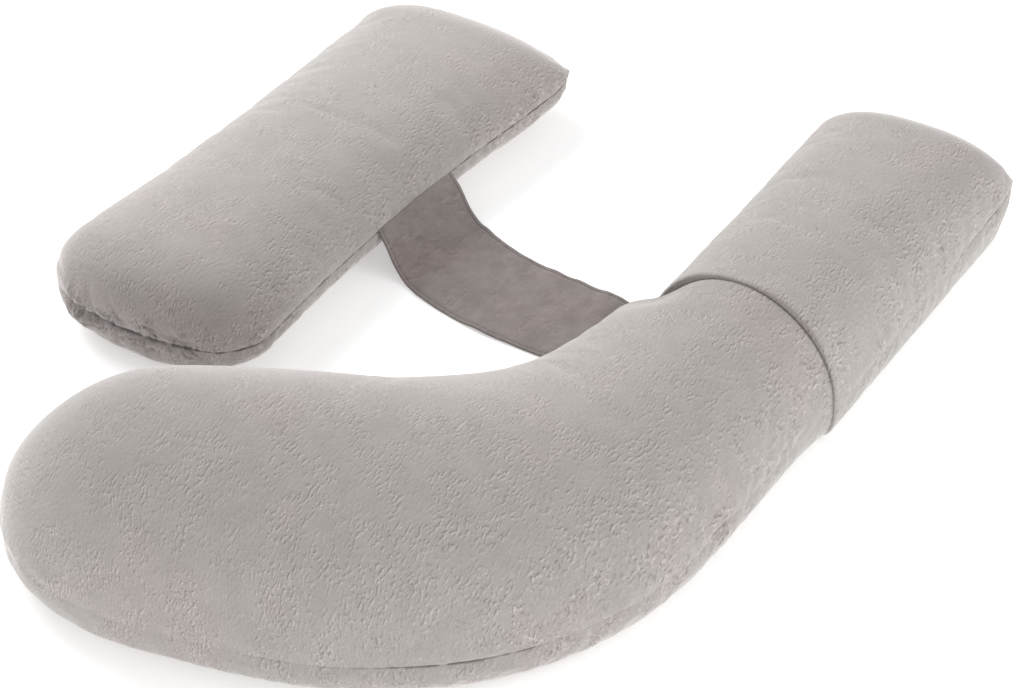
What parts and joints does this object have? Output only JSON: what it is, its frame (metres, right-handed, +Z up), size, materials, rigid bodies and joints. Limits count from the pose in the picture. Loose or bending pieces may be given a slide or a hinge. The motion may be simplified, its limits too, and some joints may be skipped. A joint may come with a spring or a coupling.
{
  "type": "pregnancy pillow",
  "caption": "Fat J-shaped velvet side-sleeping pillow with a straight head section, and an oblong back pillow joined by a wide cloth strap.",
  "frame": {"origin": "on the surface that it lies on, under the middle of its overall box", "axes": "+Z up from the surface; +Y along the head section, away from the body pillow; +X from the back pillow towards the body pillow"},
  "size_m": [0.788, 1.0268, 0.198],
  "materials": {
    "pillow_velvet": "short warm grey velvet with a fine nap",
    "strap_velvet": "short velvet, a darker warm grey, stitched along its edges"
  },
  "bodies": {
    "root": {"body_pillow": "pillow_velvet", "head_pillow": "pillow_velvet", "back_pillow": "pillow_velvet", "joining_strap": "strap_velvet"}
  },
  "joints": []
}
